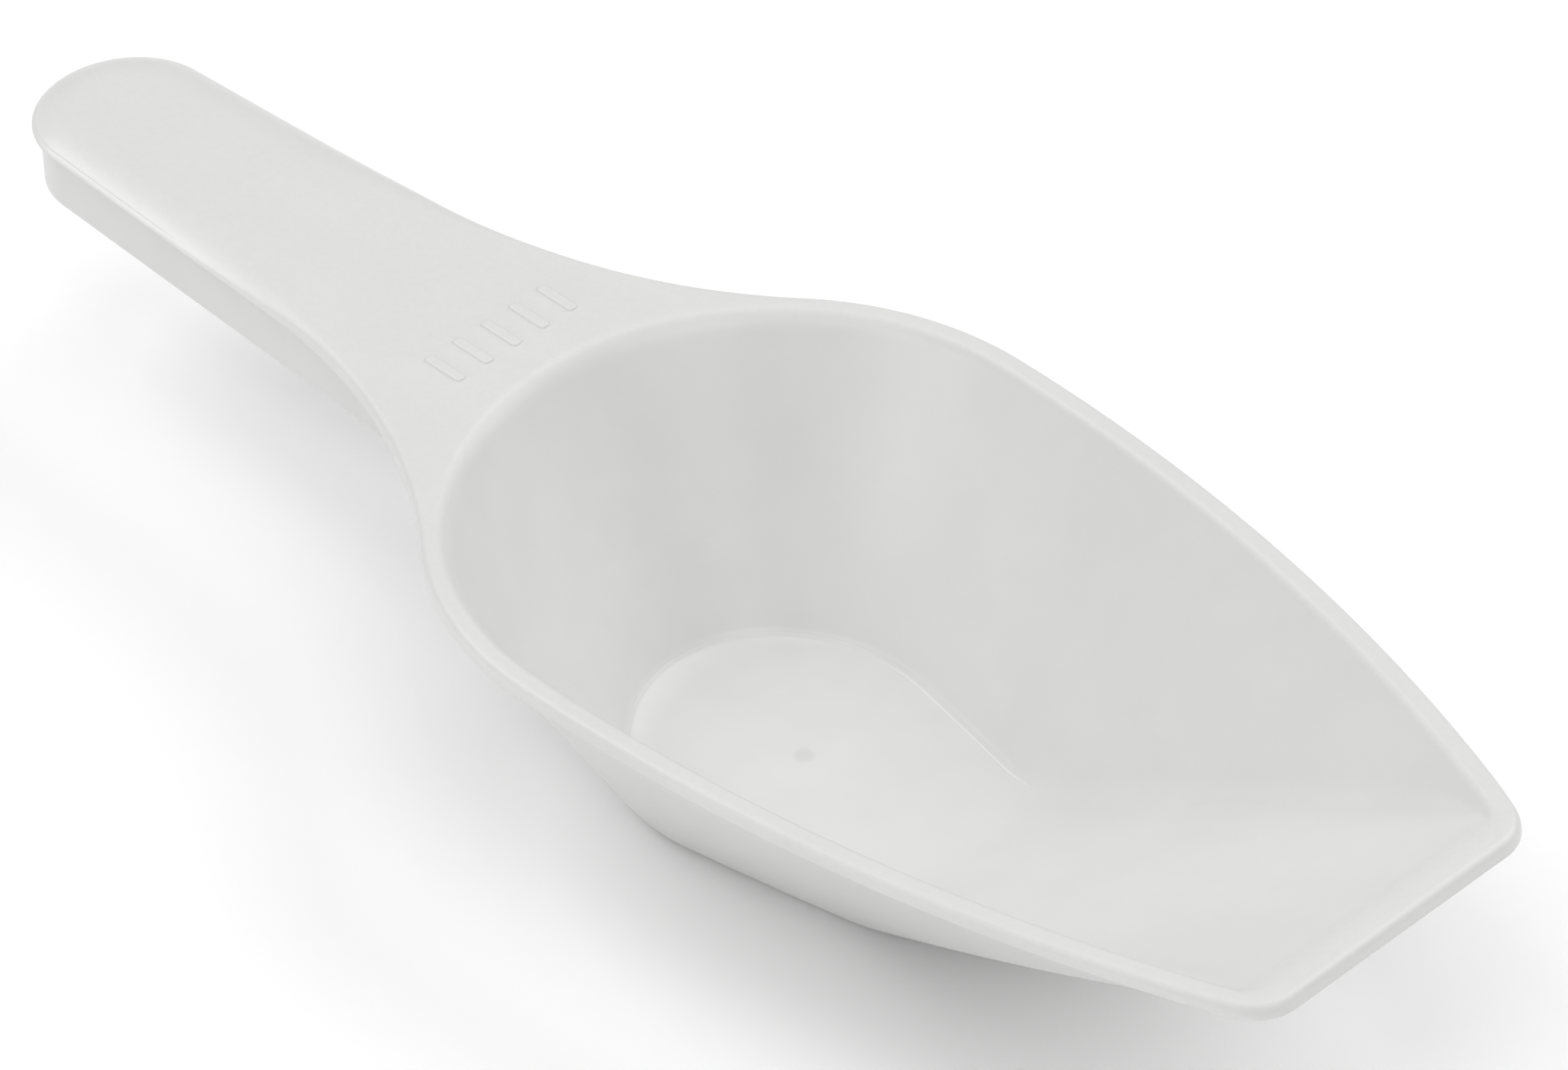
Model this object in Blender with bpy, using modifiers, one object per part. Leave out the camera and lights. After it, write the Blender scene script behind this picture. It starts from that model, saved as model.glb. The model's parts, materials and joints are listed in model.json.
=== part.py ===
"""Ice scoop: one injection-moulded piece of white plastic.

The handle, the rim and the lip share one level plate. The bowl hangs below it: a cone at the back,
two long convex sides, a flat floor and a ramp that rises to the lip. A skirt turns down from the
handle plate and leaves a channel open underneath.

X runs from the handle's tip to the lip, Y to the left, Z up. The origin is under the middle of the
part, on the surface that its flat bottom rests on. Lengths are in metres.
"""

from math import atan2, cos, pi, radians, sin, sqrt, tan

import bmesh
import bpy
from mathutils import Vector

MM = 0.001

# Driving dimensions
LENGTH = 240 * MM
RIM_HEIGHT = 38.8 * MM
PLATE_THICKNESS = 2.2 * MM
WALL = 2.0 * MM
FLOOR_THICKNESS = 2.0 * MM
EDGE_ROUNDING = 0.8 * MM

HANDLE_WIDTH = 26.0 * MM
HANDLE_TIP_LENGTH = 12.2 * MM
HANDLE_FLARE = radians(3.0)
NECK_RADIUS = 80 * MM
SKIRT_DEPTH = 10.8 * MM
SKIRT_INSET = 1.1 * MM
SKIRT_WALL = 2.0 * MM
SKIRT_END_X = -20 * MM

BOWL_RADIUS = 44.8 * MM
BOWL_X = 13.2 * MM
SIDE_RADIUS = 280 * MM
LIP_CORNER_RADIUS = 7 * MM
RIM_WIDTH = 3.0 * MM
LIP_WIDTH = 4.5 * MM
MOUTH_ROUNDING = 1.2 * MM

FLOOR_RADIUS = 20.3 * MM
FLOOR_X = 15.6 * MM
FLOOR_TAPER = radians(10.3)
FLOOR_SIDE_RADIUS = 780 * MM
FLOOR_NOSE_X = 80 * MM
FLOOR_NOSE_RADIUS = 1.5 * MM
FLOOR_FILLET = 4.0 * MM
BOTTOM_GROWTH = 0.9 * MM
BOTTOM_ROUNDING = 1.2 * MM
RAMP_START_X = 44 * MM

MARK_RADIUS = 1.4 * MM
MARK_DEPTH = 0.3 * MM
MARK_X = 18 * MM

BAR_COUNT = 5
BAR_LENGTH = 6.5 * MM
BAR_WIDTH = 1.6 * MM
BAR_HEIGHT = 0.4 * MM
BAR_ROW_X = -38 * MM
BAR_ROW_Y = 1.5 * MM
BAR_PITCH = 5 * MM

# Steps along the round stretches of the outlines
TIP_STEPS = 8
NECK_STEPS = 8
BACK_STEPS = 16
SIDE_STEPS = 12
CORNER_STEPS = 4
FILLET_STEPS = 3
MARK_SIDES = 16

# Worked out from the dimensions above
TIP_X = -LENGTH / 2
LIP_X = LENGTH / 2
PLATE_BOTTOM = RIM_HEIGHT - PLATE_THICKNESS
MOUTH_FRONT_X = LIP_X - LIP_WIDTH
MOUTH_RADIUS = BOWL_RADIUS - RIM_WIDTH
BOWL_DEPTH = RIM_HEIGHT - FLOOR_THICKNESS
WALL_DRAFT = atan2(MOUTH_RADIUS - FLOOR_RADIUS, BOWL_DEPTH)
RAMP_ANGLE = atan2(BOWL_DEPTH, MOUTH_FRONT_X - RAMP_START_X)
OVERSHOOT = 3 * MM
PLASTIC_COLOUR = (0.83, 0.83, 0.82, 1.0)


def clear_scene():
    for old in list(bpy.data.objects):
        bpy.data.objects.remove(old, do_unlink=True)


def new_collection(name, hidden=False):
    made = bpy.data.collections.new(name)
    made.hide_render = hidden
    bpy.context.scene.collection.children.link(made)
    return made


def arc(centre, radius, start, end, steps):
    """Points along a circle, from one angle to another, both ends included."""
    angles = [start + (end - start) * step / steps for step in range(steps + 1)]
    return [(centre[0] + radius * cos(a), centre[1] + radius * sin(a)) for a in angles]


def straight(start, end, steps):
    """Points along a straight line, both ends included."""
    shares = [step / steps for step in range(steps + 1)]
    return [
        (start[0] + (end[0] - start[0]) * share, start[1] + (end[1] - start[1]) * share)
        for share in shares
    ]


def chained(*stretches):
    """One line of points from stretches that each start where the last one ended."""
    points = list(stretches[0])
    for stretch in stretches[1:]:
        points += stretch[1:]
    return points


def mirrored(half):
    """A closed outline from its half on the +Y side, which starts and ends on the X axis."""
    return half + [(x, -y) for x, y in reversed(half[1:-1])]


def handle_start(inset):
    """The rounded tip of the handle, a quarter of an ellipse."""
    centre_x = TIP_X + HANDLE_TIP_LENGTH
    length = HANDLE_TIP_LENGTH - inset
    half_width = HANDLE_WIDTH / 2 - inset
    angles = [pi - pi / 2 * step / TIP_STEPS for step in range(TIP_STEPS + 1)]
    return [(centre_x + length * cos(a), half_width * sin(a)) for a in angles]


def side_and_front(back_x, back_radius, leave, side_radius, front_x, corner_radius):
    """A long convex side, a rounded corner and half the straight front.

    The side leaves a round back, centred at back_x, at the angle leave.
    """
    side_x = back_x + (back_radius - side_radius) * cos(leave)
    side_y = (back_radius - side_radius) * sin(leave)
    corner_x = front_x - corner_radius
    reach = corner_x - side_x
    corner_y = side_y + sqrt((side_radius - corner_radius) ** 2 - reach**2)
    turn = atan2(corner_y - side_y, reach)
    side = arc((side_x, side_y), side_radius, leave, turn, SIDE_STEPS)
    corner = arc((corner_x, corner_y), corner_radius, turn, 0, CORNER_STEPS)
    front = straight((front_x, corner_y), (front_x, 0), 1)
    return chained(side, corner, front)


def plate_half():
    """Half the outline of the plate: tip, straight handle, concave neck, bowl rim, side and lip."""
    tip = handle_start(0)
    line_start = tip[-1]
    along = (cos(HANDLE_FLARE), sin(HANDLE_FLARE))
    across = (-sin(HANDLE_FLARE), cos(HANDLE_FLARE))
    from_bowl = (
        line_start[0] + NECK_RADIUS * across[0] - BOWL_X,
        line_start[1] + NECK_RADIUS * across[1],
    )
    drift = from_bowl[0] * along[0] + from_bowl[1] * along[1]
    spread = (NECK_RADIUS + BOWL_RADIUS) ** 2 - from_bowl[0] ** 2 - from_bowl[1] ** 2
    line_length = -drift - sqrt(drift**2 + spread)
    line_end = (
        line_start[0] + line_length * along[0],
        line_start[1] + line_length * along[1],
    )
    neck_centre = (
        line_end[0] + NECK_RADIUS * across[0],
        line_end[1] + NECK_RADIUS * across[1],
    )
    meeting = atan2(neck_centre[1], neck_centre[0] - BOWL_X)
    handle = straight(line_start, line_end, 2)
    neck = arc(neck_centre, NECK_RADIUS, HANDLE_FLARE - pi / 2, meeting - pi, NECK_STEPS)
    back = arc((BOWL_X, 0), BOWL_RADIUS, meeting, pi / 2, BACK_STEPS // 2)
    side = side_and_front(BOWL_X, BOWL_RADIUS, pi / 2, SIDE_RADIUS, LIP_X, LIP_CORNER_RADIUS)
    return chained(tip, handle, neck, back, side)


def mouth_half(offset):
    """Half the outline of the bowl's mouth, grown outwards by the offset."""
    radius = MOUTH_RADIUS + offset
    side_radius = SIDE_RADIUS - RIM_WIDTH + offset
    corner_radius = LIP_CORNER_RADIUS - RIM_WIDTH + offset
    back = arc((BOWL_X, 0), radius, pi, pi / 2, BACK_STEPS)
    front_x = MOUTH_FRONT_X + offset
    return chained(back, side_and_front(BOWL_X, radius, pi / 2, side_radius, front_x, corner_radius))


def floor_half(offset):
    """Half the outline of the floor: a round back and long sides that run together."""
    radius = FLOOR_RADIUS + offset
    leave = pi / 2 - FLOOR_TAPER
    side_radius = FLOOR_SIDE_RADIUS + offset
    nose_radius = FLOOR_NOSE_RADIUS + offset
    back = arc((FLOOR_X, 0), radius, pi, leave, BACK_STEPS)
    nose_x = FLOOR_NOSE_X + offset
    return chained(back, side_and_front(FLOOR_X, radius, leave, side_radius, nose_x, nose_radius))


def between(mouth, floor, share, height):
    """A ring part of the way from the mouth's outline to the floor's, at one height."""
    return [
        Vector((m[0] + (f[0] - m[0]) * share, m[1] + (f[1] - m[1]) * share, height))
        for m, f in zip(mouth, floor)
    ]


def wall_rings(mouth, floor, top, bottom, fillet):
    """Rings from top to bottom of a straight wall that turns into a flat floor with a fillet."""
    depth = top - bottom
    run = depth * tan(WALL_DRAFT)
    slope = pi / 2 - WALL_DRAFT
    fillet_reach = fillet * tan(slope / 2)
    fillet_inset = run + fillet_reach
    rings = [between(mouth, floor, 0, top)]
    for step in range(FILLET_STEPS + 1):
        angle = slope * (1 - step / FILLET_STEPS)
        inset = fillet_inset - fillet * sin(angle)
        rise = fillet * (1 - cos(angle))
        rings.append(between(mouth, floor, inset / run, bottom + rise))
    return rings


def loft(name, rings, collection):
    """A closed solid through rings of points, with a flat cap at each end."""
    form = bmesh.new()
    loops = [[form.verts.new(point) for point in ring] for ring in rings]
    for upper, lower in zip(loops, loops[1:]):
        for here in range(len(upper)):
            after = (here + 1) % len(upper)
            form.faces.new((upper[here], upper[after], lower[after], lower[here]))
    form.faces.new(loops[0])
    form.faces.new(reversed(loops[-1]))
    bmesh.ops.recalc_face_normals(form, faces=form.faces)
    mesh = bpy.data.meshes.new(name)
    form.to_mesh(mesh)
    form.free()
    made = bpy.data.objects.new(name, mesh)
    collection.objects.link(made)
    return made


def slab(name, outline, bottom, top, collection):
    """A flat plate with the given outline, made from a filled curve."""
    curve = bpy.data.curves.new(name + "_outline", "CURVE")
    curve.dimensions = "2D"
    curve.fill_mode = "BOTH"
    curve.extrude = (top - bottom) / 2
    spline = curve.splines.new("POLY")
    spline.points.add(len(outline) - 1)
    for point, (x, y) in zip(spline.points, outline):
        point.co = (x, y, 0, 1)
    spline.use_cyclic_u = True
    drawn = bpy.data.objects.new(name + "_outline", curve)
    collection.objects.link(drawn)
    drawn.location.z = (top + bottom) / 2
    bpy.context.view_layer.update()
    graph = bpy.context.evaluated_depsgraph_get()
    mesh = bpy.data.meshes.new_from_object(drawn.evaluated_get(graph))
    mesh.name = name
    form = bmesh.new()
    form.from_mesh(mesh)
    bmesh.ops.remove_doubles(form, verts=form.verts, dist=0.001 * MM)
    form.to_mesh(mesh)
    form.free()
    made = bpy.data.objects.new(name, mesh)
    made.matrix_world = drawn.matrix_world
    collection.objects.link(made)
    bpy.data.objects.remove(drawn, do_unlink=True)
    return made


def box(name, lowest, highest, collection):
    """A box between two corners, with its size applied to its mesh."""
    form = bmesh.new()
    bmesh.ops.create_cube(form, size=1)
    size = [high - low for low, high in zip(lowest, highest)]
    middle = [(high + low) / 2 for low, high in zip(lowest, highest)]
    bmesh.ops.scale(form, vec=size, verts=form.verts)
    bmesh.ops.translate(form, vec=middle, verts=form.verts)
    mesh = bpy.data.meshes.new(name)
    form.to_mesh(mesh)
    form.free()
    made = bpy.data.objects.new(name, mesh)
    collection.objects.link(made)
    return made


def ramp_block(name, drop, collection):
    """A block whose top is the ramp's plane, moved down square to the plane by the drop."""
    reach = LENGTH
    made = box(name, (-reach / 2, -reach / 2, -reach / 2), (reach, reach / 2, -drop), collection)
    made.location = (RAMP_START_X, 0, FLOOR_THICKNESS)
    made.rotation_euler.y = -RAMP_ANGLE
    return made


def combine(target, other, operation):
    cut = target.modifiers.new(other.name, "BOOLEAN")
    cut.operation = operation
    cut.solver = "EXACT"
    cut.object = other


def as_helper(*objects):
    for helper in objects:
        helper.hide_render = True
        helper.display_type = "WIRE"


def bowl_outside(helpers):
    """The solid outer form of the bowl, flat underneath and cut off by the ramp's underside."""
    growth = WALL / cos(WALL_DRAFT)
    mouth = mirrored(mouth_half(growth))
    bottom_offset = growth - FLOOR_THICKNESS * tan(WALL_DRAFT) + BOTTOM_GROWTH
    floor = mirrored(floor_half(bottom_offset))
    rings = wall_rings(mouth, floor, RIM_HEIGHT, 0, BOTTOM_ROUNDING)
    rings[0] = between(mouth, floor, PLATE_THICKNESS / 2 / RIM_HEIGHT, RIM_HEIGHT - PLATE_THICKNESS / 2)
    outside = loft("bowl_outside", rings, helpers)
    below = ramp_block("below_ramp", WALL, helpers)
    combine(outside, below, "DIFFERENCE")
    as_helper(outside, below)
    return outside


def bowl_inside(helpers):
    """The hollow of the bowl: rounded at the mouth, filleted at the floor, ended by the ramp."""
    mouth = mirrored(mouth_half(0))
    floor = mirrored(floor_half(0))
    rings = wall_rings(mouth, floor, RIM_HEIGHT, FLOOR_THICKNESS, FLOOR_FILLET)
    wide = mirrored(mouth_half(MOUTH_ROUNDING))
    halfway = mirrored(mouth_half(MOUTH_ROUNDING / 3))
    low_share = MOUTH_ROUNDING / BOWL_DEPTH
    rings[0] = between(mouth, floor, low_share, RIM_HEIGHT - MOUTH_ROUNDING)
    rings.insert(0, between(halfway, floor, low_share / 4, RIM_HEIGHT - MOUTH_ROUNDING / 3))
    rings.insert(0, between(wide, floor, 0, RIM_HEIGHT))
    rings.insert(0, between(wide, floor, 0, RIM_HEIGHT + OVERSHOOT))
    inside = loft("bowl_inside", rings, helpers)
    under = ramp_block("under_ramp", 0, helpers)
    combine(inside, under, "DIFFERENCE")
    as_helper(inside, under)
    return inside


def skirt_outline(inset, end_x):
    """The handle's outline moved inwards, carried on straight to an end in the bowl's wall."""
    tip = handle_start(inset)
    end_y = tip[-1][1] + (end_x - tip[-1][0]) * tan(HANDLE_FLARE)
    return mirrored(chained(tip, straight(tip[-1], (end_x, end_y), 1), [(end_x, end_y), (end_x, 0)]))


def handle_skirt(helpers):
    """The skirt under the handle, open below, with its inner end buried in the bowl's wall."""
    bottom = RIM_HEIGHT - SKIRT_DEPTH
    top = RIM_HEIGHT - PLATE_THICKNESS / 2
    outer = skirt_outline(SKIRT_INSET, SKIRT_END_X)
    inner = skirt_outline(SKIRT_INSET + SKIRT_WALL, SKIRT_END_X + OVERSHOOT)
    skirt = slab("skirt", outer, bottom, top, helpers)
    channel = slab("skirt_channel", inner, bottom - OVERSHOOT, PLATE_BOTTOM, helpers)
    combine(skirt, channel, "DIFFERENCE")
    as_helper(skirt, channel)
    return skirt


def raised_bars(helpers):
    """A row of plain raised bars across the neck."""
    low = (-BAR_LENGTH / 2, -BAR_WIDTH / 2, -PLATE_THICKNESS / 2)
    high = (BAR_LENGTH / 2, BAR_WIDTH / 2, BAR_HEIGHT)
    bars = []
    for index in range(BAR_COUNT):
        bar = box(f"bar_{index + 1}", low, high, helpers)
        across = (index - (BAR_COUNT - 1) / 2) * BAR_PITCH
        bar.location = (BAR_ROW_X, BAR_ROW_Y + across, RIM_HEIGHT)
        as_helper(bar)
        bars.append(bar)
    return bars


def gate_mark(helpers):
    """The shallow round dimple that the mould's gate leaves in the middle of the floor."""
    form = bmesh.new()
    bmesh.ops.create_cone(
        form,
        cap_ends=True,
        segments=MARK_SIDES,
        radius1=MARK_RADIUS,
        radius2=MARK_RADIUS,
        depth=2 * MARK_DEPTH,
    )
    mesh = bpy.data.meshes.new("gate_mark")
    form.to_mesh(mesh)
    form.free()
    made = bpy.data.objects.new("gate_mark", mesh)
    made.location = (MARK_X, 0, FLOOR_THICKNESS)
    helpers.objects.link(made)
    as_helper(made)
    return made


def white_plastic():
    made = bpy.data.materials.new("white_plastic")
    made.use_nodes = True
    made.diffuse_color = PLASTIC_COLOUR
    shader = made.node_tree.nodes["Principled BSDF"]
    shader.inputs["Base Color"].default_value = PLASTIC_COLOUR
    shader.inputs["Roughness"].default_value = 0.38
    shader.inputs["Metallic"].default_value = 0.0
    return made


def scoop_moulding(parts, helpers):
    """The one piece: plate, bowl, skirt and bars joined, then hollowed."""
    made = slab("scoop_moulding", mirrored(plate_half()), PLATE_BOTTOM, RIM_HEIGHT, parts)
    made.data.materials.append(white_plastic())
    rounding = made.modifiers.new("edge_rounding", "BEVEL")
    rounding.width = EDGE_ROUNDING
    rounding.segments = 2
    rounding.limit_method = "ANGLE"
    rounding.angle_limit = radians(60)
    combine(made, bowl_outside(helpers), "UNION")
    combine(made, handle_skirt(helpers), "UNION")
    combine(made, bowl_inside(helpers), "DIFFERENCE")
    for bar in raised_bars(helpers):
        combine(made, bar, "UNION")
    combine(made, gate_mark(helpers), "DIFFERENCE")
    made.data.shade_smooth()
    made.data.set_sharp_from_angle(angle=radians(35))
    return made


def main():
    clear_scene()
    parts = new_collection("ice_scoop")
    helpers = new_collection("cutters_and_guides", hidden=True)
    scoop_moulding(parts, helpers)


main()
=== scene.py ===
"""The ice scoop's finished surface, its plastic, the light and the camera.

The scoop is one moulding, so its looks are one closed mesh that stands for the one CAD node. The
mesh is made of rings that follow the scoop's own outlines: round the plate's edge, over the rim,
down the walls and across the floor, and the same way underneath. X runs from the handle's tip to
the lip, Y to the left and Z up. Lengths are in metres.
"""

import json
from math import atan2, cos, pi, radians, sin, sqrt, tan

import bmesh
import bpy
import numpy as np
from mathutils import Matrix, Vector
from mathutils.geometry import delaunay_2d_cdt

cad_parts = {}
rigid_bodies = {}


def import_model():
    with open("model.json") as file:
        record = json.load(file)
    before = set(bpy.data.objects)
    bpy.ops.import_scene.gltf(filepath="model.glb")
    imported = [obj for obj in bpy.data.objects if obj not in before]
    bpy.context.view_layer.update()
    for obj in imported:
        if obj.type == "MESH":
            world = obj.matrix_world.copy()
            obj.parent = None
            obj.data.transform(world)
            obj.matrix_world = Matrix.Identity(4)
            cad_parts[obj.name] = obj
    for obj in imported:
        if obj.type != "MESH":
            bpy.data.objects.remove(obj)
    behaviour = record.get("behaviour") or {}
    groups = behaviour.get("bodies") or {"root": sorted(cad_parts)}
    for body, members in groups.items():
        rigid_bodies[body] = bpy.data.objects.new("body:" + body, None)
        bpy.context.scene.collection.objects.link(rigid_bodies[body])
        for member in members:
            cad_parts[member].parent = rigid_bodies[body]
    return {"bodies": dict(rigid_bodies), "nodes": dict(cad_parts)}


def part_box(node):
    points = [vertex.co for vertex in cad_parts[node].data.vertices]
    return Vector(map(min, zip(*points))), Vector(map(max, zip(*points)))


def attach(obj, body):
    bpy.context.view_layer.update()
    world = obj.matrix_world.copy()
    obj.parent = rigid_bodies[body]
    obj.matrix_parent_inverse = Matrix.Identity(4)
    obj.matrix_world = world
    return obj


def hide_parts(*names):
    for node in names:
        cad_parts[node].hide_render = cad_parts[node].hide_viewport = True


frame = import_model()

MM = 0.001

# ---------------------------------------------------------------- the CAD's own box and sizes
# Only the CAD's objects stay in the scene
for leftover in list(bpy.data.objects):
    if leftover not in [*frame["nodes"].values(), *frame["bodies"].values()]:
        bpy.data.objects.remove(leftover, do_unlink=True)
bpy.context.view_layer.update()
LOW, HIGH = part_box("scoop_moulding")

TIP_X = LOW.x
LIP_X = HIGH.x
BOWL_RADIUS = HIGH.y
BAR_HEIGHT = 0.4 * MM
RIM = HIGH.z - BAR_HEIGHT
PLATE_THICKNESS = 2.2 * MM
PLATE_BOTTOM = RIM - PLATE_THICKNESS
WALL = 2.0 * MM
FLOOR = 2.0 * MM

HANDLE_WIDTH = 26.0 * MM
HANDLE_TIP_LENGTH = 12.2 * MM
HANDLE_FLARE = radians(3.0)
NECK_RADIUS = 80 * MM
SKIRT_DEPTH = 10.8 * MM
SKIRT_INSET = 1.1 * MM
SKIRT_WALL = 2.0 * MM

BOWL_X = 13.2 * MM
SIDE_RADIUS = 280 * MM
LIP_CORNER_RADIUS = 7 * MM
RIM_WIDTH = 3.0 * MM
LIP_WIDTH = 4.5 * MM

FLOOR_RADIUS = 20.3 * MM
FLOOR_X = 15.6 * MM
FLOOR_TAPER = radians(10.3)
FLOOR_SIDE_RADIUS = 780 * MM
FLOOR_NOSE_X = 80 * MM
FLOOR_NOSE_RADIUS = 1.5 * MM
BOTTOM_GROWTH = 0.9 * MM
RAMP_START_X = 44 * MM

MARK_RADIUS = 1.4 * MM
MARK_X = 18 * MM

BAR_COUNT = 5
BAR_LENGTH = 6.5 * MM
BAR_WIDTH = 1.6 * MM
BAR_ROW_X = -38 * MM
BAR_ROW_Y = 1.5 * MM
BAR_PITCH = 5 * MM

# ---------------------------------------------------------------- sizes of the fine surface
MOUTH_REACH = 1.25 * MM
MOUTH_BACK_REACH = 2.4 * MM
UNDER_RIM_REACH = 0.8 * MM
RAMP_REACH = 3.0 * MM
BOTTOM_REACH = 4.0 * MM
CREASE_RISE_BACK = 1.6 * MM
CREASE_RISE_SIDE = 0.3 * MM
CREASE_RIDGE = 0.2 * MM
CREASE_RIDGE_WIDTH = 0.32 * MM
DISH_BACK = 7.5 * MM
DISH_SIDE = 0.6 * MM
MOUTH_BACK_END_X = -24 * MM
MOUTH_SIDE_START_X = 12 * MM
RAMP_FADE = 6 * MM
UNDER_RAMP_FADE = 7 * MM
GATE_DEPTH = 0.1 * MM
GATE_NUB = 0.05 * MM
GATE_NUB_WIDTH = 0.38 * MM
GATE_RING = 2.4 * MM
GATE_RING_STEP = 0.15
BOTTOM_MIDDLE_X = 20 * MM
EDGE_ROUND = 1.0 * MM
HANDLE_ROUND_WIDER = 5.2 * MM
HANDLE_ROUND_DEEPER = 0.8 * MM
LIP_ROUND_WIDER = 0.4 * MM
LIP_ROUND_DEEPER = 0.8 * MM
EDGE_BOTTOM_ROUND = 0.35 * MM
BAR_CORNER = 0.55 * MM
SKIRT_TAPER = 0.15
SKIRT_EDGE_ROUND = 0.5
HANDLE_RUN = 45 * MM
FLOOR_DROP = 0.02 * MM

# An extra ring this far out keeps a rounding from bending the level face beside it
SUPPORT = 0.2 * MM

# Worked out from the sizes above
MOUTH_FRONT_X = LIP_X - LIP_WIDTH
MOUTH_RADIUS = BOWL_RADIUS - RIM_WIDTH
DEPTH = RIM - FLOOR
WALL_RUN = (MOUTH_RADIUS - FLOOR_RADIUS) / DEPTH
WALL_DRAFT = atan2(MOUTH_RADIUS - FLOOR_RADIUS, DEPTH)
RAMP_RISE = DEPTH / (MOUTH_FRONT_X - RAMP_START_X)
GROWTH = WALL / cos(WALL_DRAFT)

# Steps along the stretches of an outline
TIP_STEPS = 26
HANDLE_STEPS = 40
NECK_STEPS = 26
BACK_STEPS = 44
SIDE_STEPS = 64
CORNER_STEPS = 14
FRONT_STEPS = 10
SKIRT_STEPS = 30
BAR_CORNER_STEPS = 6


# ---------------------------------------------------------------- outlines
def arc(centre, radius, start, end, steps):
    """Points along a circle, from one angle to another, both ends included."""
    angles = np.linspace(start, end, steps + 1)
    return np.column_stack((centre[0] + radius * np.cos(angles), centre[1] + radius * np.sin(angles)))


def straight(start, end, steps):
    """Points along a straight line, both ends included."""
    return np.linspace(start, end, steps + 1)


def chained(*stretches):
    """One line of points from stretches that each start where the last one ended."""
    return np.vstack([stretches[0], *[stretch[1:] for stretch in stretches[1:]]])


def mirrored(half):
    """A closed outline from its half on the +Y side, which starts and ends on the X axis."""
    return np.vstack([half, half[-2:0:-1] * (1, -1)])


def side_and_front(back_x, back_radius, leave, side_radius, front_x, corner_radius):
    """A long convex side, a rounded corner and half the straight front.

    The side leaves a round back, centred at back_x, at the angle leave.
    """
    side_x = back_x + (back_radius - side_radius) * cos(leave)
    side_y = (back_radius - side_radius) * sin(leave)
    corner_x = front_x - corner_radius
    reach = corner_x - side_x
    corner_y = side_y + sqrt((side_radius - corner_radius) ** 2 - reach**2)
    turn = atan2(corner_y - side_y, reach)
    side = arc((side_x, side_y), side_radius, leave, turn, SIDE_STEPS)
    corner = arc((corner_x, corner_y), corner_radius, turn, 0, CORNER_STEPS)
    front = straight((front_x, corner_y), (front_x, 0), FRONT_STEPS)
    return chained(side, corner, front)


def mouth(offset, front_offset=None):
    """The outline of the bowl's mouth, grown outwards, at the front by an amount of its own."""
    ahead = offset if front_offset is None else front_offset
    radius = MOUTH_RADIUS + offset
    corner_radius = LIP_CORNER_RADIUS - RIM_WIDTH + offset
    back = arc((BOWL_X, 0), radius, pi, pi / 2, BACK_STEPS)
    side = side_and_front(
        BOWL_X,
        radius,
        pi / 2,
        SIDE_RADIUS - RIM_WIDTH + offset,
        MOUTH_FRONT_X + ahead,
        corner_radius,
    )
    return mirrored(chained(back, side))


def floor_outline(offset):
    """The outline of the floor, grown outwards: a round back and long sides that run together."""
    radius = FLOOR_RADIUS + offset
    leave = pi / 2 - FLOOR_TAPER
    back = arc((FLOOR_X, 0), radius, pi, leave, BACK_STEPS)
    side = side_and_front(
        FLOOR_X,
        radius,
        leave,
        FLOOR_SIDE_RADIUS + offset,
        FLOOR_NOSE_X + offset,
        FLOOR_NOSE_RADIUS + offset,
    )
    return mirrored(chained(back, side))


def handle_tip(inset):
    """The rounded tip of the handle, a quarter of an ellipse."""
    length = HANDLE_TIP_LENGTH - inset
    half_width = HANDLE_WIDTH / 2 - inset
    return arc((0, 0), 1, pi, pi / 2, TIP_STEPS) * (length, half_width) + (TIP_X + HANDLE_TIP_LENGTH, 0)


def plate():
    """The outline of the plate: tip, straight handle, concave neck, bowl rim, side and lip."""
    tip = handle_tip(0)
    start = tip[-1]
    along = np.array((cos(HANDLE_FLARE), sin(HANDLE_FLARE)))
    across = np.array((-sin(HANDLE_FLARE), cos(HANDLE_FLARE)))
    from_bowl = start + NECK_RADIUS * across - (BOWL_X, 0)
    drift = from_bowl @ along
    spread = (NECK_RADIUS + BOWL_RADIUS) ** 2 - from_bowl @ from_bowl
    end = start + (-drift - sqrt(drift**2 + spread)) * along
    neck_centre = end + NECK_RADIUS * across
    meeting = atan2(neck_centre[1], neck_centre[0] - BOWL_X)
    handle = straight(start, end, HANDLE_STEPS)
    neck = arc(neck_centre, NECK_RADIUS, HANDLE_FLARE - pi / 2, meeting - pi, NECK_STEPS)
    back = arc((BOWL_X, 0), BOWL_RADIUS, meeting, pi / 2, BACK_STEPS // 2)
    side = side_and_front(BOWL_X, BOWL_RADIUS, pi / 2, SIDE_RADIUS, LIP_X, LIP_CORNER_RADIUS)
    return mirrored(chained(tip, handle, neck, back, side))


def outward(outline):
    """Unit vectors square to a closed outline that runs clockwise from -X by +Y to +X."""
    along = np.roll(outline, -1, axis=0) - np.roll(outline, 1, axis=0)
    along /= np.linalg.norm(along, axis=1)[:, None]
    return np.column_stack((-along[:, 1], along[:, 0]))


def distance(points, outline):
    """Each point's distance to a closed outline."""
    starts = outline
    runs = np.roll(outline, -1, axis=0) - outline
    lengths = (runs**2).sum(axis=1)
    gaps = points[:, None, :] - starts[None, :, :]
    shares = np.clip((gaps * runs).sum(axis=2) / lengths, 0, 1)
    gaps -= shares[:, :, None] * runs
    return np.sqrt((gaps**2).sum(axis=2).min(axis=1))


# ---------------------------------------------------------------- heights
def soft_max(a, b, reach):
    """The larger of two heights, with a fillet where they are within reach of each other."""
    reach = np.maximum(reach, 1e-9)
    return np.maximum(a, b) + np.maximum(reach - np.abs(a - b), 0) ** 2 / (4 * reach)


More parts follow.
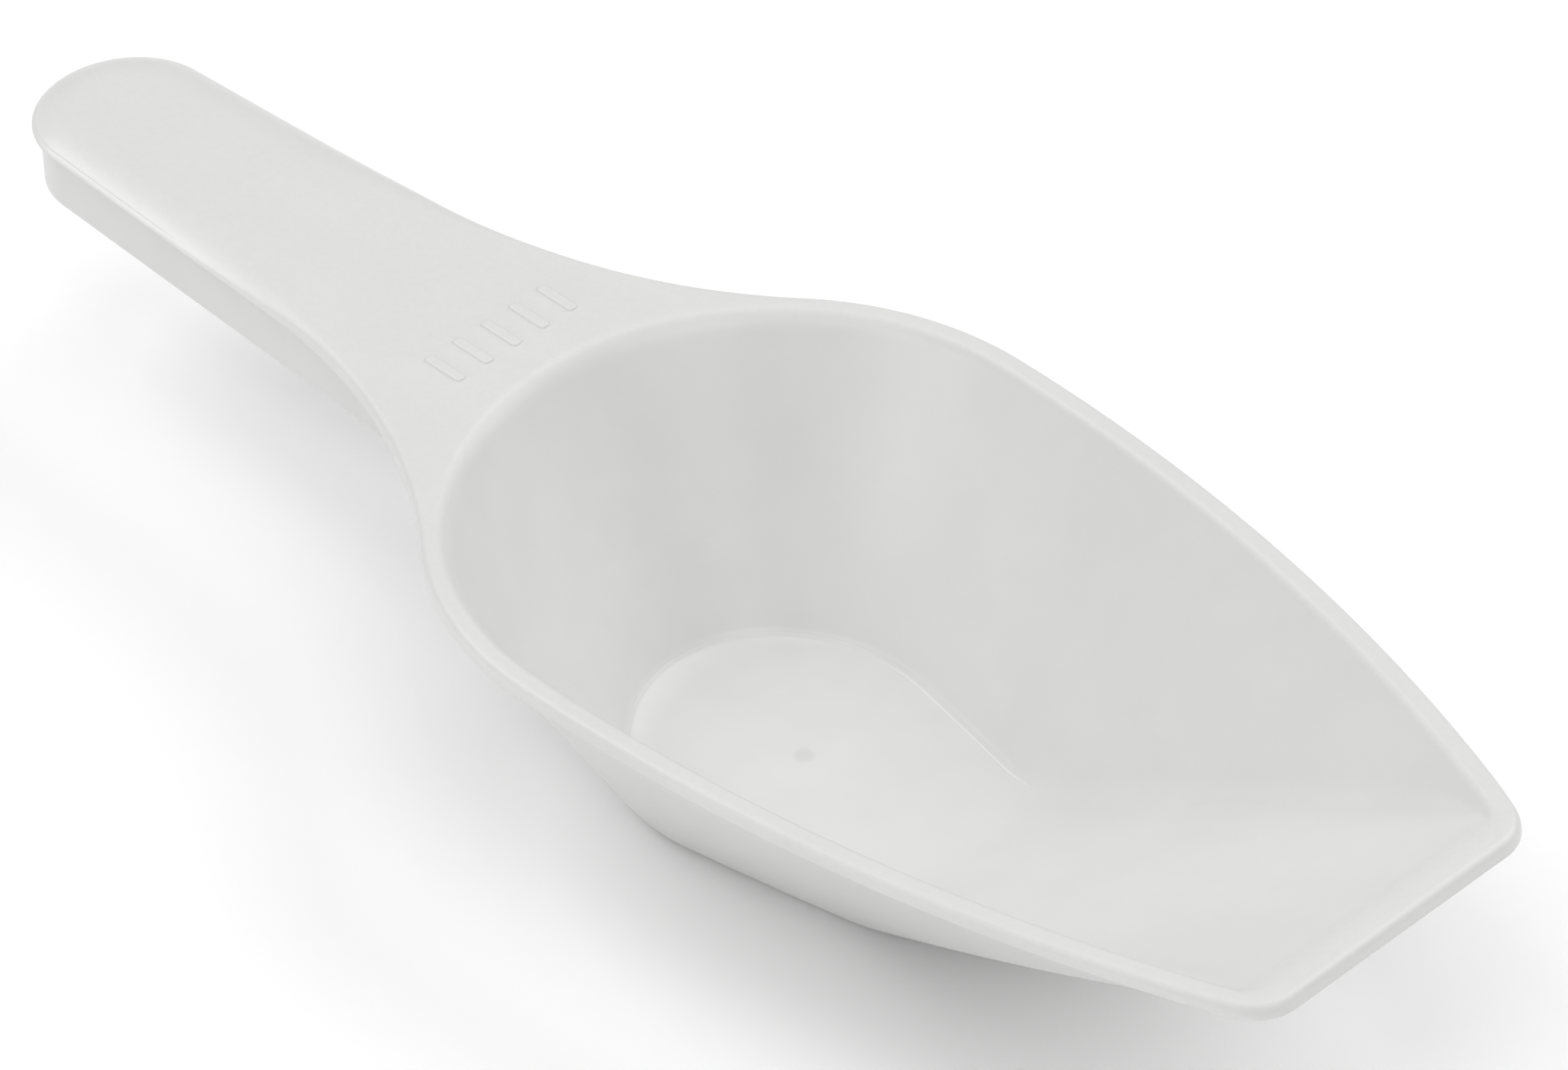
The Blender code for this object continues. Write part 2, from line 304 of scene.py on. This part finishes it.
def soft_min(a, b, reach):
    """The smaller of two heights, with the same fillet."""
    return -soft_max(-a, -b, reach)


def eased(value, start, end):
    """0 before start, 1 after end, and smooth in between."""
    share = np.clip((value - start) / (end - start), 0, 1)
    return share * share * (3 - 2 * share)


def ramp(x):
    """The height of the plane that rises from the floor to the lip."""
    return FLOOR + (x - RAMP_START_X) * RAMP_RISE


def over_ramp(height, x):
    """Joins a height of the bowl's inside to the ramp, with a fillet that fades out at the rim."""
    reach = RAMP_REACH * eased(RIM - height, 0, RAMP_FADE)
    return soft_max(height, ramp(x), reach)


def raised(outline, heights):
    """An outline's points at one height, or at a height each."""
    return np.column_stack((outline, np.broadcast_to(heights, len(outline))))


# ---------------------------------------------------------------- the mesh, ring by ring
class Skin:
    """The points and faces of one closed surface."""

    def __init__(self):
        self.points = []
        self.faces = []

    def ring(self, points):
        start = len(self.points)
        self.points.extend(map(tuple, points))
        return np.arange(start, start + len(points))

    def band(self, one, other):
        """Four-sided faces between two closed rings with as many points."""
        after_one, after_other = np.roll(one, -1), np.roll(other, -1)
        self.faces.extend(zip(one, after_one, after_other, other))

    def bands(self, rings):
        """Bands through rings of points. Returns the first and the last ring."""
        made = [self.ring(points) for points in rings]
        for one, other in zip(made, made[1:]):
            self.band(one, other)
        return made[0], made[-1]

    def close(self, ring, middle):
        """A fan from a small ring to a point in its middle."""
        centre = self.ring([middle])[0]
        after = np.roll(ring, -1)
        self.faces.extend((here, there, centre) for here, there in zip(ring, after))

    def flat(self, outer, holes):
        """Triangles across a level face between an outer ring and the rings of its holes."""
        loops = [outer, *holes]
        ids = np.concatenate(loops)
        owner = np.concatenate([np.full(len(loop), number) for number, loop in enumerate(loops)])
        flat_points = [Vector(self.points[i][:2]) * 1000 for i in ids]
        edges = []
        start = 0
        for loop in loops:
            count = len(loop)
            edges += [(start + i, start + (i + 1) % count) for i in range(count)]
            start += count
        _, _, triangles, sources, _, _ = delaunay_2d_cdt(flat_points, edges, [], 1, 1e-6)
        for triangle in triangles:
            corners = [sources[i][0] for i in triangle]
            owners = {owner[i] for i in corners}
            if len(owners) == 1 and 0 not in owners:
                continue
            self.faces.append([ids[i] for i in corners])

    def object(self, name):
        mesh = bpy.data.meshes.new(name)
        mesh.from_pydata(self.points, [], [[int(i) for i in face] for face in self.faces])
        form = bmesh.new()
        form.from_mesh(mesh)
        bmesh.ops.recalc_face_normals(form, faces=form.faces)
        form.to_mesh(mesh)
        form.free()
        made = bpy.data.objects.new(name, mesh)
        bpy.context.scene.collection.objects.link(made)
        return made


# ---------------------------------------------------------------- the bowl's inside
def between(one, other, share):
    return one + (other - one) * share


def backwards(points):
    """1 behind the floor's middle, 0 beside it and in front of it, and smooth in between."""
    angle = np.arctan2(points[:, 1], points[:, 0] - FLOOR_X)
    return np.maximum(-np.cos(angle), 0) ** 2


def dish(points, crease):
    """Heights inside the crease: a flat floor whose edge curves up, in a wide sweep at the back."""
    back = backwards(points)
    rise = between(CREASE_RISE_SIDE, CREASE_RISE_BACK, back)
    width = between(DISH_SIDE, DISH_BACK, back)
    radius = (width**2 + rise**2) / (2 * rise)
    inward = np.clip(width - distance(points, crease), 0, width)
    return FLOOR + radius - np.sqrt(radius**2 - inward**2)


def ridge(points, crease):
    """The low line that stands up along the crease and fades out on the ramp."""
    across = distance(points, crease) / CREASE_RIDGE_WIDTH
    fade = 1 - eased(points[:, 0], RAMP_START_X - 6 * MM, RAMP_START_X - 1 * MM)
    return CREASE_RIDGE * np.exp(-(across**2)) * fade


def gate(points):
    """The dimple that the mould's gate leaves in the floor, with a small nub in its middle."""
    away = np.linalg.norm(points - (MARK_X, 0), axis=1)
    hollow = -GATE_DEPTH * (1 - eased(away, 0.5 * MARK_RADIUS, 1.25 * MARK_RADIUS))
    nub = GATE_NUB * np.exp(-((away / GATE_NUB_WIDTH) ** 2))
    return hollow + nub


def inside_rings():
    """Rings from the level rim, over the mouth's rounding, down the walls to the gate mark."""
    top, bottom = mouth(0), floor_outline(0)
    rise = between(CREASE_RISE_SIDE, CREASE_RISE_BACK, backwards(bottom))
    crease_share = (1 - rise / DEPTH)[:, None]
    crease = between(top, bottom, crease_share)
    rings = []
    side_reach, front_reach = MOUTH_REACH * WALL_RUN, MOUTH_REACH / RAMP_RISE
    reach = between(MOUTH_BACK_REACH, MOUTH_REACH, eased(top[:, 0], MOUTH_BACK_END_X, MOUTH_SIDE_START_X))
    more = outward(top) * ((reach - MOUTH_REACH) * WALL_RUN)[:, None]
    rings.append(raised(mouth(side_reach + SUPPORT, front_reach + SUPPORT) + more, RIM))
    for step in (1, 0.85, 0.7, 0.55, 0.4, 0.2):
        outline = mouth(step * side_reach, step * front_reach) + more * step
        rings.append(raised(outline, soft_min(RIM, RIM + step * reach, reach)))
    crease_zone = 0.7 * MM / DEPTH / WALL_RUN
    shares = np.concatenate((
        np.linspace(0, MOUTH_BACK_REACH / DEPTH, 11)[:-1],
        np.linspace(MOUTH_BACK_REACH / DEPTH, 1 - crease_zone, 36)[:-1],
        np.linspace(1 - crease_zone, 1, 10),
    ))
    for share in shares:
        outline = between(top, crease, share)
        height = RIM - share * (DEPTH - rise) + ridge(outline, crease)
        height = over_ramp(height, outline[:, 0])
        rings.append(raised(outline, soft_min(RIM, height, reach)))
    from_gate = crease - (MARK_X, 0)
    directions = from_gate / np.linalg.norm(from_gate, axis=1)[:, None]
    gate_start = (MARK_X, 0) + directions * GATE_RING
    near = np.linspace(0, 0.045, 12)[1:]
    shares = np.concatenate((near, np.linspace(0.045, 1, 27)[1:]))
    outlines = [between(crease, gate_start, share) for share in shares]
    gate_radii = np.arange(2.2, 0.2, -GATE_RING_STEP)
    outlines += [(MARK_X, 0) + directions * radius * MM for radius in gate_radii]
    for outline in outlines:
        height = dish(outline, crease) + ridge(outline, crease) + gate(outline)
        rings.append(raised(outline, over_ramp(height, outline[:, 0])))
    return rings


# ---------------------------------------------------------------- the bowl's outside
def outside_rings():
    """Rings from the level underside of the rim, down the outer walls to the flat bottom."""
    top = mouth(GROWTH)
    bottom = floor_outline(GROWTH - FLOOR * WALL_RUN + BOTTOM_GROWTH)
    start_share = PLATE_THICKNESS / RIM
    start = between(top, bottom, start_share)
    front_x = start[:, 0].max()
    run = np.linalg.norm(top[0] - bottom[0]) / RIM

    def under(height, x):
        slope = PLATE_BOTTOM + (x - front_x) * RAMP_RISE
        reach = RAMP_REACH * eased(PLATE_BOTTOM - height, 0, UNDER_RAMP_FADE)
        return soft_max(height, slope, reach)

    normals = outward(start)
    ahead = eased(normals[:, 0], 0.35, 0.95)
    reaches = UNDER_RIM_REACH * (run + (1 / RAMP_RISE - run) * ahead)
    rings = [raised(start + normals * (reaches + SUPPORT)[:, None], PLATE_BOTTOM)]
    for step in (1, 0.75, 0.5, 0.25):
        outline = start + normals * (step * reaches)[:, None]
        height = soft_min(PLATE_BOTTOM, PLATE_BOTTOM + step * UNDER_RIM_REACH, UNDER_RIM_REACH)
        rings.append(raised(outline, height))
    shares = np.concatenate((
        np.linspace(start_share, start_share + 0.03, 4)[:-1],
        np.linspace(start_share + 0.03, 0.94, 34)[:-1],
        np.linspace(0.94, 1, 6),
    ))
    for share in shares:
        outline = between(top, bottom, share)
        height = soft_max(RIM * (1 - share), 0, BOTTOM_REACH)
        height = under(height, outline[:, 0])
        rings.append(raised(outline, soft_min(PLATE_BOTTOM, height, UNDER_RIM_REACH)))
    middle = np.array((BOTTOM_MIDDLE_X, 0))
    directions = bottom - middle
    directions /= np.linalg.norm(directions, axis=1)[:, None]
    last = middle + directions * 1 * MM
    shares = np.concatenate((np.linspace(0, 0.06, 6)[1:], np.linspace(0.06, 1, 14)[1:]))
    for share in shares:
        outline = between(bottom, last, share)
        height = soft_max(-distance(outline, bottom) / run, 0, BOTTOM_REACH)
        rings.append(raised(outline, under(height, outline[:, 0])))
    return rings


# ---------------------------------------------------------------- the plate's edge
def edge_rings():
    """Rings round the plate's edge: a top rounding that is broad on the handle, then the edge."""
    outline = plate()
    normals = outward(outline)
    handle = 1 - eased(outline[:, 0], TIP_X + 30 * MM, TIP_X + 76 * MM)
    lip = eased(outline[:, 0], LIP_X - 9 * MM, LIP_X - 1 * MM)
    width = EDGE_ROUND + HANDLE_ROUND_WIDER * handle + LIP_ROUND_WIDER * lip
    depth = EDGE_ROUND + HANDLE_ROUND_DEEPER * handle + LIP_ROUND_DEEPER * lip
    slanted = 0.75 * handle
    rings = [raised(outline - normals * (width + SUPPORT)[:, None], RIM)]
    for angle in np.linspace(0, pi / 2, 13):
        inset = width * (1 - sin(angle))
        drop = depth * between(1 - cos(angle), sin(angle) ** 2, slanted)
        rings.append(raised(outline - normals * inset[:, None], RIM - drop))
    round_top = PLATE_BOTTOM + EDGE_BOTTOM_ROUND
    for angle in np.linspace(0, pi / 2, 5):
        inset = EDGE_BOTTOM_ROUND * (1 - cos(angle))
        rings.append(raised(outline - normals * inset, round_top - EDGE_BOTTOM_ROUND * sin(angle)))
    rings.append(raised(outline - normals * (EDGE_BOTTOM_ROUND + SUPPORT), PLATE_BOTTOM))
    return rings


# The side of a bar in millimetres: how far out from its outline, and how high
BAR_PROFILE = (
    (0.26, 0),
    (0.14, 0.02),
    (0.05, 0.08),
    (0, 0.17),
    (-0.06, 0.26),
    (-0.16, 0.32),
    (-0.32, 0.34),
)


def bar_rings(number):
    """Rings of one plain raised bar, from the plate up to its rounded top."""
    middle = (BAR_ROW_X, BAR_ROW_Y + (number - (BAR_COUNT - 1) / 2) * BAR_PITCH)
    rings = []
    for grow, rise in BAR_PROFILE:
        half_length = BAR_LENGTH / 2 + grow * MM
        half_width = BAR_WIDTH / 2 + grow * MM
        corner = BAR_CORNER + grow * MM
        turns = [
            arc(
                (middle[0] + sx * (half_length - corner), middle[1] + sy * (half_width - corner)),
                corner,
                start,
                start - pi / 2,
                BAR_CORNER_STEPS,
            )
            for sx, sy, start in ((-1, 1, pi), (1, 1, pi / 2), (1, -1, 0), (-1, -1, -pi / 2))
        ]
        rings.append(raised(np.vstack(turns), RIM + rise * MM))
    return rings


def body():
    """The plate and the bowl as one closed skin."""
    skin = Skin()
    edge_top, edge_bottom = skin.bands(edge_rings())
    rim_ring, gate_ring = skin.bands(inside_rings())
    under_ring, bottom_ring = skin.bands(outside_rings())
    skin.close(gate_ring, (MARK_X, 0, FLOOR - 0.08 * MM))
    skin.close(bottom_ring, (BOTTOM_MIDDLE_X, 0, 0))
    bases = []
    for number in range(BAR_COUNT):
        base, top = skin.bands(bar_rings(number))
        bases.append(base)
        skin.faces.append(list(top))
    skin.flat(edge_top, [rim_ring, *bases])
    skin.flat(edge_bottom, [under_ring])
    return skin.object("scoop")


# ---------------------------------------------------------------- the skirt under the handle
def skirt():
    """The skirt as a closed strip, swept from the bowl's wall round the tip and back.

    Its profile is in millimetres: how far in from the skirt's outer face, and how high over the
    plate's underside.
    """
    profile = [(-0.5, 0.9), (-0.5, -0.05), (-0.2, -0.12), (-0.05, -0.3), (0, -0.6)]
    low_edge = -(SKIRT_DEPTH - PLATE_THICKNESS) / MM
    for angle in np.linspace(0, pi / 2, 5):
        across = SKIRT_TAPER + SKIRT_EDGE_ROUND * (1 - cos(angle))
        profile.append((across, low_edge + SKIRT_EDGE_ROUND * (1 - sin(angle))))
    wall = SKIRT_WALL / MM
    mirror = [(wall - across, height) for across, height in reversed(profile)]
    profile += mirror
    skin = Skin()
    tip_x = TIP_X + HANDLE_TIP_LENGTH
    lines = []
    for across, height in profile:
        z = PLATE_BOTTOM + height * MM
        inset = SKIRT_INSET + across * MM
        tip = handle_tip(inset)
        share = (RIM - z) / DEPTH
        radius = MOUTH_RADIUS - (RIM - z) * WALL_RUN + GROWTH / 2
        centre_x = BOWL_X + (FLOOR_X - BOWL_X) * share
        end_y = tip[-1][1] + HANDLE_RUN * tan(HANDLE_FLARE)
        end_x = centre_x - sqrt(radius**2 - end_y**2)
        end_y = tip[-1][1] + (end_x - tip_x) * tan(HANDLE_FLARE)
        half = chained(tip, straight(tip[-1], (end_x, end_y), SKIRT_STEPS))
        line = np.vstack([half[:0:-1], half * (1, -1)])
        lines.append(raised(line, z))
    stations = np.stack(lines, axis=1)
    first, last = skin.bands(list(stations))
    skin.faces.append(list(first))
    skin.faces.append(list(last))
    return skin.object("skirt")


def joined(target, other):
    """The union of two closed meshes, as target's new mesh."""
    union = target.modifiers.new("union", "BOOLEAN")
    union.operation = "UNION"
    union.solver = "EXACT"
    union.object = other
    graph = bpy.context.evaluated_depsgraph_get()
    mesh = bpy.data.meshes.new_from_object(target.evaluated_get(graph))
    target.modifiers.clear()
    target.data = mesh
    bpy.data.objects.remove(other, do_unlink=True)


scoop = body()
joined(scoop, skirt())
scoop.data.shade_smooth()
scoop.data.set_sharp_from_angle(angle=radians(38))


# ---------------------------------------------------------------- materials
class Graph:
    """A material's nodes, added and linked in one call each."""

    def __init__(self, name):
        self.material = bpy.data.materials.new(name)
        self.material.use_nodes = True
        self.tree = self.material.node_tree
        self.shader = self.tree.nodes["Principled BSDF"]

    def node(self, kind, inputs=None, **settings):
        made = self.tree.nodes.new(kind)
        for key, value in settings.items():
            setattr(made, key, value)
        for key, value in (inputs or {}).items():
            self.feed(made.inputs[key], value)
        return made

    def feed(self, socket, value):
        if isinstance(value, bpy.types.NodeSocket):
            self.tree.links.new(value, socket)
        else:
            socket.default_value = value

    def math(self, operation, first, second):
        return self.node("ShaderNodeMath", {0: first, 1: second}, operation=operation).outputs[0]

    def between(self, value, low, high, start=0.0, end=1.0):
        """Start where the value is low, end where it is high, and smooth in between."""
        ranges = {"Value": value, "From Min": low, "From Max": high, "To Min": start, "To Max": end}
        made = self.node("ShaderNodeMapRange", ranges, interpolation_type="SMOOTHSTEP")
        return made.outputs["Result"]

    def noise(self, coordinates, scale, detail=2.0, roughness=0.5):
        inputs = {"Vector": coordinates, "Scale": scale, "Detail": detail, "Roughness": roughness}
        return self.node("ShaderNodeTexNoise", inputs).outputs["Fac"]

    def mixed(self, share, one, other):
        made = self.node("ShaderNodeMix", data_type="RGBA")
        self.feed(made.inputs["Factor"], share)
        self.feed(made.inputs[6], one)
        self.feed(made.inputs[7], other)
        return made.outputs[2]


LIGHT_PLASTIC = (0.698, 0.698, 0.693, 1)
DARK_PLASTIC = (0.672, 0.672, 0.668, 1)
# Painted shade: the grey that darkens the level top, which the lights leave too bright
TOP_PAINTED_SHADE_GREY = (0.62, 0.62, 0.615, 1)
PIT_GREY = (0.45, 0.45, 0.445, 1)
SPECK_COLOUR = (0.3, 0.29, 0.27, 1)
MARK_COLOUR = (0.5, 0.5, 0.495, 1)
PEEL_HEIGHT = 0.06 * MM
GRAIN_HEIGHT = 0.03 * MM
LEAST_ROUGHNESS = 0.275


def white_plastic():
    """Satin white plastic: smooth in the bowl, grained on the level top, and a little greyer there from
    painted shade.

    It is mottled by the flow of the plastic, and it has a few dark specks and a darker gate mark.
    """
    graph = Graph("white_plastic")
    coordinates = graph.node("ShaderNodeTexCoord")
    place = coordinates.outputs["Object"]
    parts = graph.node("ShaderNodeSeparateXYZ", {0: place})
    facing = graph.node("ShaderNodeSeparateXYZ", {0: coordinates.outputs["Normal"]})
    below_rim = graph.between(parts.outputs["Z"], RIM - 0.4 * MM, RIM - 1.4 * MM)
    looks_up = graph.between(facing.outputs["Z"], 0.1, 0.3)
    in_bowl = graph.math("MULTIPLY", below_rim, looks_up)
    on_handle = graph.between(parts.outputs["X"], -18 * MM, -34 * MM)
    grained = graph.math("SUBTRACT", 1.0, in_bowl)

    flow = graph.noise(place, 38, 3, 0.55)
    cloud = graph.noise(place, 160, 2, 0.5)
    mottle = graph.math("ADD", graph.math("MULTIPLY", flow, 0.7), graph.math("MULTIPLY", cloud, 0.3))
    tone = graph.between(mottle, 0.3, 0.7)
    colour = graph.mixed(tone, DARK_PLASTIC, LIGHT_PLASTIC)
    on_top = graph.math("MULTIPLY", grained, looks_up)
    # Painted shade: faces outside the bowl that look up are mixed towards a grey, so the level top reads
    # darker than the lights leave it
    colour = graph.mixed(graph.math("MULTIPLY", on_top, 0.45), colour, TOP_PAINTED_SHADE_GREY)
    grit = graph.between(graph.noise(place, 1100, 2, 0.6), 0.38, 0.62)
    pitted = graph.math("MULTIPLY", graph.math("MULTIPLY", on_top, grit), 0.045)
    colour = graph.mixed(pitted, colour, PIT_GREY)
    cells = graph.node("ShaderNodeTexVoronoi", {"Vector": place, "Scale": 95, "Randomness": 1})
    near_speck = graph.between(cells.outputs["Distance"], 0.03, 0.015)
    pick = graph.node("ShaderNodeSeparateColor", {0: cells.outputs["Color"]})
    chosen = graph.math("GREATER_THAN", pick.outputs[0], 0.55)
    speck = graph.math("MULTIPLY", graph.math("MULTIPLY", near_speck, chosen), 0.55)
    colour = graph.mixed(speck, colour, SPECK_COLOUR)
    from_mark = graph.node("ShaderNodeVectorMath", {0: place, 1: (MARK_X, 0, FLOOR)}, operation="DISTANCE")
    mark = graph.between(from_mark.outputs["Value"], 1.25 * MARK_RADIUS, 0.6 * MARK_RADIUS, 0.0, 0.3)
    colour = graph.mixed(mark, colour, MARK_COLOUR)
    graph.feed(graph.shader.inputs["Base Color"], colour)

    fine = graph.noise(place, 1900, 2, 0.6)
    peel = graph.noise(place, 260, 1, 0.4)
    strength = graph.math("ADD", graph.math("MULTIPLY", grained, 0.5), graph.math("MULTIPLY", on_handle, 0.5))
    grain = graph.math("MULTIPLY", fine, graph.math("ADD", strength, 0.08))
    smooth_bump = graph.node("ShaderNodeBump", {"Strength": 0.25, "Distance": PEEL_HEIGHT, "Height": peel})
    grain_bump = graph.node(
        "ShaderNodeBump",
        {"Strength": 0.6, "Distance": GRAIN_HEIGHT, "Height": grain, "Normal": smooth_bump.outputs[0]},
    )
    graph.feed(graph.shader.inputs["Normal"], grain_bump.outputs[0])
    gloss = graph.math("ADD", graph.math("MULTIPLY", grained, 0.1), graph.math("MULTIPLY", flow, 0.08))
    graph.feed(graph.shader.inputs["Roughness"], graph.math("ADD", gloss, LEAST_ROUGHNESS))
    graph.shader.inputs["IOR"].default_value = 1.49
    graph.shader.inputs["Subsurface Weight"].default_value = 0.12
    graph.shader.inputs["Subsurface Radius"].default_value = (1.0, 1.0, 0.95)
    graph.shader.inputs["Subsurface Scale"].default_value = 1.5 * MM
    return graph.material


def pale_floor():
    """The matt white surface that the scoop lies on."""
    graph = Graph("pale_floor")
    graph.shader.inputs["Base Color"].default_value = (0.95, 0.95, 0.95, 1)
    graph.shader.inputs["Roughness"].default_value = 0.9
    graph.shader.inputs["Specular IOR Level"].default_value = 0.1
    return graph.material


scoop.data.materials.clear()
scoop.data.materials.append(white_plastic())
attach(scoop, "root")
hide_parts("scoop_moulding")


# ---------------------------------------------------------------- floor, light and camera
def floor():
    """A wide level square just under the scoop."""
    mesh = bpy.data.meshes.new("floor")
    form = bmesh.new()
    bmesh.ops.create_grid(form, x_segments=1, y_segments=1, size=4)
    form.to_mesh(mesh)
    form.free()
    made = bpy.data.objects.new("floor", mesh)
    made.location.z = -FLOOR_DROP
    made.data.materials.append(pale_floor())
    bpy.context.scene.collection.objects.link(made)


def looking(direction):
    """The rotation that points a light's or a camera's -Z along a direction."""
    return direction.to_track_quat("-Z", "Y")


def from_angles(azimuth, elevation):
    """The unit vector from the object towards an azimuth and an elevation, in degrees."""
    a, e = radians(azimuth), radians(elevation)
    return Vector((sin(a) * cos(e), -cos(a) * cos(e), sin(e)))


def soft_light(name, azimuth, elevation, size, power):
    """A round lamp that faces the scoop. Its size is in metres and its power in watts."""
    lamp = bpy.data.lights.new(name, "AREA")
    lamp.shape = "DISK"
    lamp.size = size
    lamp.energy = power
    made = bpy.data.objects.new(name, lamp)
    side = from_angles(azimuth, elevation)
    made.location = side * LIGHT_DISTANCE
    made.rotation_mode = "QUATERNION"
    made.rotation_quaternion = looking(-side)
    bpy.context.scene.collection.objects.link(made)


def sky(strength):
    """Even white light from all round."""
    world = bpy.data.worlds.new("soft_white")
    world.use_nodes = True
    world.node_tree.nodes["Background"].inputs["Color"].default_value = (1, 1, 1, 1)
    world.node_tree.nodes["Background"].inputs["Strength"].default_value = strength
    bpy.context.scene.world = world


LIGHT_DISTANCE = 1.6

CAMERA_AZIMUTH = 45.30
CAMERA_ELEVATION = 40.45
CAMERA_ROLL = -0.65
CAMERA_DISTANCE = 1.3365
CAMERA_AIM = (0.0, 0.0, 0.024)
CAMERA_SLIDE = (-10.371 * MM, 3.284 * MM)
CAMERA_LENS = 240.62


def camera():
    """The camera looks at its aim, then rolls, and slides sideways and down to frame the scoop."""
    back = from_angles(CAMERA_AZIMUTH, CAMERA_ELEVATION)
    right = Vector((cos(radians(CAMERA_AZIMUTH)), sin(radians(CAMERA_AZIMUTH)), 0))
    up = back.cross(right)
    turn = radians(CAMERA_ROLL)
    rolled_right = right * cos(turn) + up * sin(turn)
    rolled_up = up * cos(turn) - right * sin(turn)
    lens = bpy.data.cameras.new("camera")
    lens.sensor_width = 36
    lens.lens = CAMERA_LENS
    lens.clip_start = 0.05
    lens.clip_end = 20
    made = bpy.data.objects.new("camera", lens)
    across, down = CAMERA_SLIDE
    place = Vector(CAMERA_AIM) + back * CAMERA_DISTANCE - rolled_right * across + rolled_up * down
    columns = Matrix((rolled_right, rolled_up, back)).transposed()
    made.matrix_world = Matrix.Translation(place) @ columns.to_4x4()
    bpy.context.scene.collection.objects.link(made)
    bpy.context.scene.camera = made


floor()
sky(0.3)
soft_light("top", 60, 84, 1.0, 4.8)
soft_light("near", 5, 45, 1.1, 3.8)
soft_light("front", 352, 16, 0.8, 3)
soft_light("back", 165, 43, 1.3, 11.3)
soft_light("left", 290, 50, 0.9, 7.5)
soft_light("right", 74, 40, 1.0, 4.2)
camera()
bpy.context.scene.view_settings.view_transform = "Standard"
